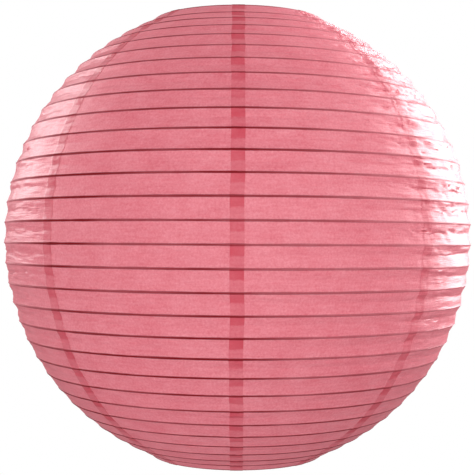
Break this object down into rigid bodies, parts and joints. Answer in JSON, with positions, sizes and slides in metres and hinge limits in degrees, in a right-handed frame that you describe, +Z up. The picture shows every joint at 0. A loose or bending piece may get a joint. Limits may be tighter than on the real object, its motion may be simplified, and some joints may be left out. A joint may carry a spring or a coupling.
{
  "type": "paper lantern",
  "caption": "Round hanging lantern of pink paper gores on closed wire hoops, with a mouth ring at each end and a wire expander that holds it open.",
  "frame": {"origin": "centre of the hanging eye, on the lantern's axis, above the top mouth", "axes": "+Z up along the lantern's axis; the front seam faces -Y; the expander's flat wire frame lies in the XZ plane"},
  "size_m": [0.3506, 0.3506, 0.343],
  "materials": {
    "paper": "matt translucent tissue paper with fine creases and fibres",
    "hoop_wire": "fine drawn wire, dull",
    "ring_wire": "drawn wire, dull",
    "expander_wire": "zinc-plated drawn wire"
  },
  "bodies": {
    "frame": {"top_ring": "ring_wire", "top_bar": "expander_wire", "bottom_bar": "expander_wire", "leg_left": "expander_wire", "leg_right": "expander_wire", "hanging_eye": "expander_wire", "gore_1": "paper", "gore_2": "paper", "gore_3": "paper", "gore_4": "paper", "gore_5": "paper", "gore_6": "paper", "gore_7": "paper", "gore_8": "paper"},
    "bottom_ring": {"bottom_ring": "ring_wire"},
    "hoop_01": {"hoop_01": "hoop_wire"},
    "hoop_02": {"hoop_02": "hoop_wire"},
    "hoop_03": {"hoop_03": "hoop_wire"},
    "hoop_04": {"hoop_04": "hoop_wire"},
    "hoop_05": {"hoop_05": "hoop_wire"},
    "hoop_06": {"hoop_06": "hoop_wire"},
    "hoop_07": {"hoop_07": "hoop_wire"},
    "hoop_08": {"hoop_08": "hoop_wire"},
    "hoop_09": {"hoop_09": "hoop_wire"},
    "hoop_10": {"hoop_10": "hoop_wire"},
    "hoop_11": {"hoop_11": "hoop_wire"},
    "hoop_12": {"hoop_12": "hoop_wire"},
    "hoop_13": {"hoop_13": "hoop_wire"},
    "hoop_14": {"hoop_14": "hoop_wire"},
    "hoop_15": {"hoop_15": "hoop_wire"},
    "hoop_16": {"hoop_16": "hoop_wire"},
    "hoop_17": {"hoop_17": "hoop_wire"},
    "hoop_18": {"hoop_18": "hoop_wire"},
    "hoop_19": {"hoop_19": "hoop_wire"},
    "hoop_20": {"hoop_20": "hoop_wire"},
    "hoop_21": {"hoop_21": "hoop_wire"},
    "hoop_22": {"hoop_22": "hoop_wire"},
    "hoop_23": {"hoop_23": "hoop_wire"},
    "hoop_24": {"hoop_24": "hoop_wire"},
    "hoop_25": {"hoop_25": "hoop_wire"},
    "hoop_26": {"hoop_26": "hoop_wire"},
    "hoop_27": {"hoop_27": "hoop_wire"},
    "hoop_28": {"hoop_28": "hoop_wire"},
    "hoop_29": {"hoop_29": "hoop_wire"}
  },
  "joints": [
    {"name": "shade_fold", "type": "slide", "parent": "frame", "child": "bottom_ring", "axis": [0, 0, 1], "range_m": [0, 0.2864], "deforming": ["gore_1", "gore_2", "gore_3", "gore_4", "gore_5", "gore_6", "gore_7", "gore_8"]},
    {"name": "hoop_01_rise", "type": "slide", "parent": "frame", "child": "hoop_01", "axis": [0, 0, 1], "range_m": [0, 0.0072]},
    {"name": "hoop_02_rise", "type": "slide", "parent": "frame", "child": "hoop_02", "axis": [0, 0, 1], "range_m": [0, 0.0126]},
    {"name": "hoop_03_rise", "type": "slide", "parent": "frame", "child": "hoop_03", "axis": [0, 0, 1], "range_m": [0, 0.0189]},
    {"name": "hoop_04_rise", "type": "slide", "parent": "frame", "child": "hoop_04", "axis": [0, 0, 1], "range_m": [0, 0.0261]},
    {"name": "hoop_05_rise", "type": "slide", "parent": "frame", "child": "hoop_05", "axis": [0, 0, 1], "range_m": [0, 0.034]},
    {"name": "hoop_06_rise", "type": "slide", "parent": "frame", "child": "hoop_06", "axis": [0, 0, 1], "range_m": [0, 0.0428]},
    {"name": "hoop_07_rise", "type": "slide", "parent": "frame", "child": "hoop_07", "axis": [0, 0, 1], "range_m": [0, 0.0523]},
    {"name": "hoop_08_rise", "type": "slide", "parent": "frame", "child": "hoop_08", "axis": [0, 0, 1], "range_m": [0, 0.0626]},
    {"name": "hoop_09_rise", "type": "slide", "parent": "frame", "child": "hoop_09", "axis": [0, 0, 1], "range_m": [0, 0.0735]},
    {"name": "hoop_10_rise", "type": "slide", "parent": "frame", "child": "hoop_10", "axis": [0, 0, 1], "range_m": [0, 0.085]},
    {"name": "hoop_11_rise", "type": "slide", "parent": "frame", "child": "hoop_11", "axis": [0, 0, 1], "range_m": [0, 0.0969]},
    {"name": "hoop_12_rise", "type": "slide", "parent": "frame", "child": "hoop_12", "axis": [0, 0, 1], "range_m": [0, 0.1093]},
    {"name": "hoop_13_rise", "type": "slide", "parent": "frame", "child": "hoop_13", "axis": [0, 0, 1], "range_m": [0, 0.1219]},
    {"name": "hoop_14_rise", "type": "slide", "parent": "frame", "child": "hoop_14", "axis": [0, 0, 1], "range_m": [0, 0.1348]},
    {"name": "hoop_15_rise", "type": "slide", "parent": "frame", "child": "hoop_15", "axis": [0, 0, 1], "range_m": [0, 0.1477]},
    {"name": "hoop_16_rise", "type": "slide", "parent": "frame", "child": "hoop_16", "axis": [0, 0, 1], "range_m": [0, 0.1606]},
    {"name": "hoop_17_rise", "type": "slide", "parent": "frame", "child": "hoop_17", "axis": [0, 0, 1], "range_m": [0, 0.1733]},
    {"name": "hoop_18_rise", "type": "slide", "parent": "frame", "child": "hoop_18", "axis": [0, 0, 1], "range_m": [0, 0.1858]},
    {"name": "hoop_19_rise", "type": "slide", "parent": "frame", "child": "hoop_19", "axis": [0, 0, 1], "range_m": [0, 0.1979]},
    {"name": "hoop_20_rise", "type": "slide", "parent": "frame", "child": "hoop_20", "axis": [0, 0, 1], "range_m": [0, 0.2096]},
    {"name": "hoop_21_rise", "type": "slide", "parent": "frame", "child": "hoop_21", "axis": [0, 0, 1], "range_m": [0, 0.2207]},
    {"name": "hoop_22_rise", "type": "slide", "parent": "frame", "child": "hoop_22", "axis": [0, 0, 1], "range_m": [0, 0.2313]},
    {"name": "hoop_23_rise", "type": "slide", "parent": "frame", "child": "hoop_23", "axis": [0, 0, 1], "range_m": [0, 0.2411]},
    {"name": "hoop_24_rise", "type": "slide", "parent": "frame", "child": "hoop_24", "axis": [0, 0, 1], "range_m": [0, 0.2502]},
    {"name": "hoop_25_rise", "type": "slide", "parent": "frame", "child": "hoop_25", "axis": [0, 0, 1], "range_m": [0, 0.2585]},
    {"name": "hoop_26_rise", "type": "slide", "parent": "frame", "child": "hoop_26", "axis": [0, 0, 1], "range_m": [0, 0.2659]},
    {"name": "hoop_27_rise", "type": "slide", "parent": "frame", "child": "hoop_27", "axis": [0, 0, 1], "range_m": [0, 0.2725]},
    {"name": "hoop_28_rise", "type": "slide", "parent": "frame", "child": "hoop_28", "axis": [0, 0, 1], "range_m": [0, 0.2783]},
    {"name": "hoop_29_rise", "type": "slide", "parent": "frame", "child": "hoop_29", "axis": [0, 0, 1], "range_m": [0, 0.2833]}
  ],
  "couplings": [
    {"joint": "hoop_01_rise", "follows": "shade_fold", "ratio": 0.02305},
    {"joint": "hoop_02_rise", "follows": "shade_fold", "ratio": 0.04204},
    {"joint": "hoop_03_rise", "follows": "shade_fold", "ratio": 0.06399},
    {"joint": "hoop_04_rise", "follows": "shade_fold", "ratio": 0.0889},
    {"joint": "hoop_05_rise", "follows": "shade_fold", "ratio": 0.11671},
    {"joint": "hoop_06_rise", "follows": "shade_fold", "ratio": 0.14733},
    {"joint": "hoop_07_rise", "follows": "shade_fold", "ratio": 0.18062},
    {"joint": "hoop_08_rise", "follows": "shade_fold", "ratio": 0.21641},
    {"joint": "hoop_09_rise", "follows": "shade_fold", "ratio": 0.25446},
    {"joint": "hoop_10_rise", "follows": "shade_fold", "ratio": 0.29452},
    {"joint": "hoop_11_rise", "follows": "shade_fold", "ratio": 0.33629},
    {"joint": "hoop_12_rise", "follows": "shade_fold", "ratio": 0.37944},
    {"joint": "hoop_13_rise", "follows": "shade_fold", "ratio": 0.42361},
    {"joint": "hoop_14_rise", "follows": "shade_fold", "ratio": 0.46844},
    {"joint": "hoop_15_rise", "follows": "shade_fold", "ratio": 0.51354},
    {"joint": "hoop_16_rise", "follows": "shade_fold", "ratio": 0.55852},
    {"joint": "hoop_17_rise", "follows": "shade_fold", "ratio": 0.603},
    {"joint": "hoop_18_rise", "follows": "shade_fold", "ratio": 0.6466},
    {"joint": "hoop_19_rise", "follows": "shade_fold", "ratio": 0.68896},
    {"joint": "hoop_20_rise", "follows": "shade_fold", "ratio": 0.72974},
    {"joint": "hoop_21_rise", "follows": "shade_fold", "ratio": 0.76863},
    {"joint": "hoop_22_rise", "follows": "shade_fold", "ratio": 0.80535},
    {"joint": "hoop_23_rise", "follows": "shade_fold", "ratio": 0.83967},
    {"joint": "hoop_24_rise", "follows": "shade_fold", "ratio": 0.87138},
    {"joint": "hoop_25_rise", "follows": "shade_fold", "ratio": 0.90032},
    {"joint": "hoop_26_rise", "follows": "shade_fold", "ratio": 0.9264},
    {"joint": "hoop_27_rise", "follows": "shade_fold", "ratio": 0.94953},
    {"joint": "hoop_28_rise", "follows": "shade_fold", "ratio": 0.96971},
    {"joint": "hoop_29_rise", "follows": "shade_fold", "ratio": 0.98694}
  ]
}
